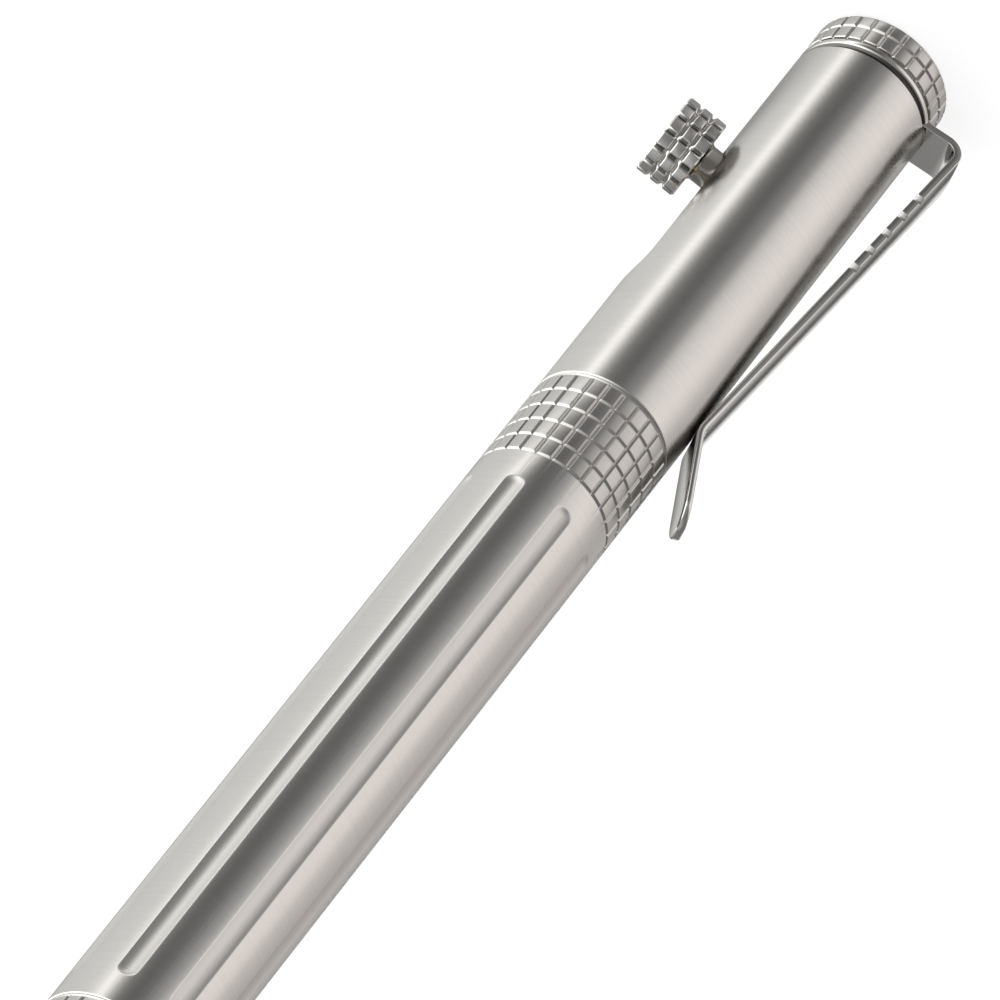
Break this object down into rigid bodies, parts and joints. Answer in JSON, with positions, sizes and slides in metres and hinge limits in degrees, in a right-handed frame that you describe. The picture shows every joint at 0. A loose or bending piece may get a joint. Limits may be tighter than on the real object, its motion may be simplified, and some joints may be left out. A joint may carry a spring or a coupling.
{
  "type": "bolt action pen",
  "caption": "Metal ballpoint pen with a knurled bolt handle in a side slot, fluted lower barrel, knurled bands, nose cone and pocket clip.",
  "frame": {"origin": "centre of the flat end face of the cap, which the pen stands on", "axes": "+Z along the pen towards its writing tip, +X towards the bolt handle"},
  "size_m": [0.0185, 0.0106, 0.141],
  "materials": {
    "satin_steel": "fine satin turned stainless steel",
    "bright_steel": "polished pressed stainless strip",
    "spring_steel": "bright drawn spring wire",
    "refill_steel": "bright drawn tube",
    "brass": "turned brass",
    "grey_plastic": "moulded",
    "black_rubber": "nitrile",
    "blue_ink": "paste ink"
  },
  "bodies": {
    "barrel": {"end_cap": "satin_steel", "pocket_clip": "bright_steel", "upper_barrel": "satin_steel", "lower_barrel": "satin_steel", "nose_cone": "satin_steel", "cap_seal_ring": "black_rubber", "joint_seal_ring": "black_rubber", "nose_seal_ring": "black_rubber", "return_spring": "spring_steel"},
    "refill": {"refill_tube": "refill_steel", "refill_end_plug": "grey_plastic", "ink_column": "blue_ink", "refill_point": "brass"},
    "bolt": {"plunger": "brass", "bolt_handle": "satin_steel"},
    "writing_ball": {"point_ball": "refill_steel"}
  },
  "joints": [
    {"name": "bolt_slide", "type": "slide", "parent": "barrel", "child": "refill", "axis": [0, 0, 1], "range_m": [0, 0.0104], "stiffness_N_per_m": 200, "springref_m": -0.006, "deforming": ["return_spring"]},
    {"name": "bolt_turn", "type": "hinge", "parent": "refill", "child": "bolt", "pos_m": [0, 0, 0.0171], "axis": [0, 0, 1], "range_deg": [0, 30]},
    {"name": "ball_roll", "type": "hinge", "parent": "refill", "child": "writing_ball", "pos_m": [0, 0, 0.13625], "axis": [1, 0, 0], "continuous": true}
  ]
}
